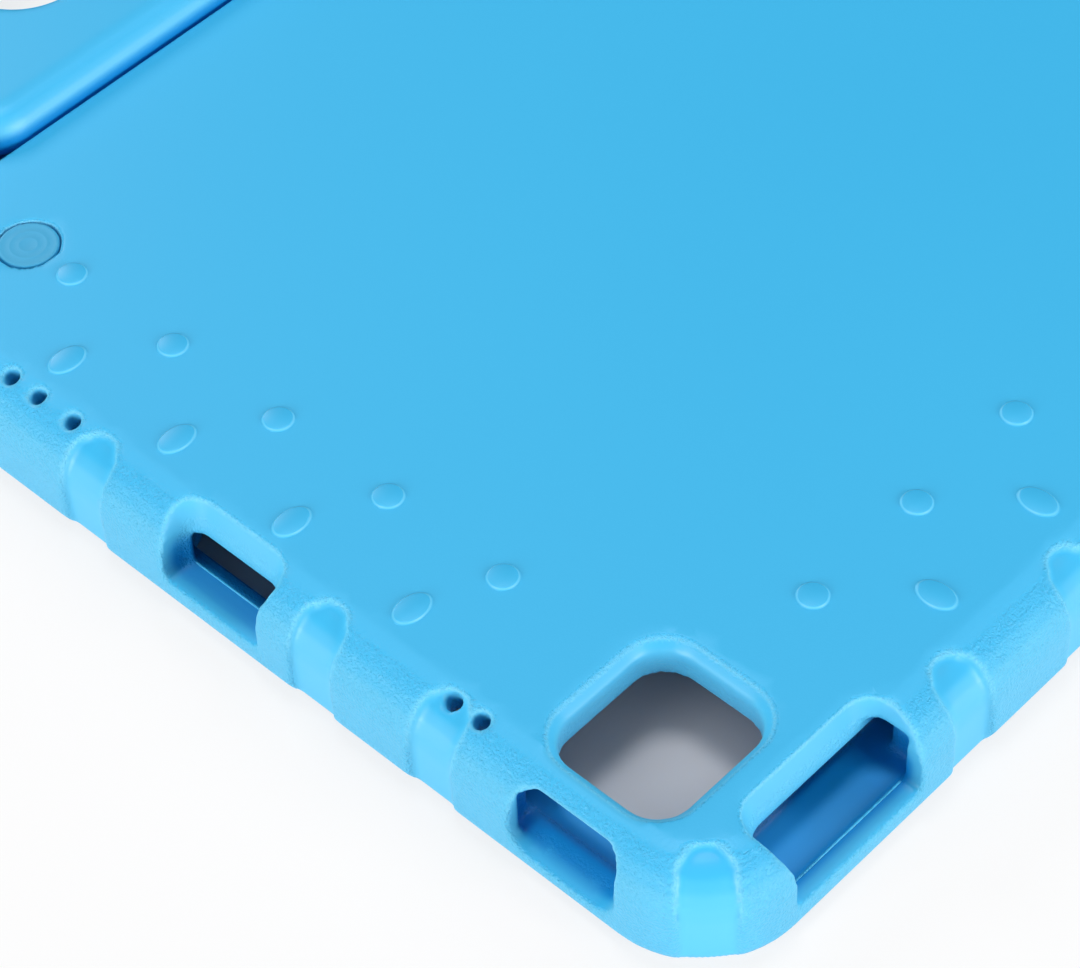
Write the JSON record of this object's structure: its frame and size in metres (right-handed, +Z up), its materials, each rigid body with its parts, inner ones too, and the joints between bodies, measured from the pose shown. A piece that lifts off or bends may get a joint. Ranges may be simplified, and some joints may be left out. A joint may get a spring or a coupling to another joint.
{
  "type": "tablet case",
  "caption": "Thick soft foam case for a large tablet, lying face down, with rounded scalloped edges, raised dots, openings and a wide folding carrying handle on its back.",
  "frame": {"origin": "on the table, at the middle of the footprint of the case and its handle", "axes": "+X along the case's long side, +Y towards the folding handle, +Z up from the open front face that lies on the table to the back panel"},
  "size_m": [0.296, 0.296, 0.027],
  "materials": {
    "foam": "moulded closed-cell foam, satin, with a fine grain on the walls",
    "plug": "satin",
    "pin": "brushed"
  },
  "bodies": {
    "case": {"case_shell": "foam", "panel_plug_left": "plug", "panel_plug_right": "plug", "hinge_pin_left": "pin", "hinge_pin_right": "pin"},
    "handle": {"handle": "foam"}
  },
  "joints": [
    {"name": "handle_fold", "type": "hinge", "parent": "case", "child": "handle", "pos_m": [0, 0.08105, 0.0212], "axis": [1, 0, 0], "range_deg": [0, 110]}
  ]
}
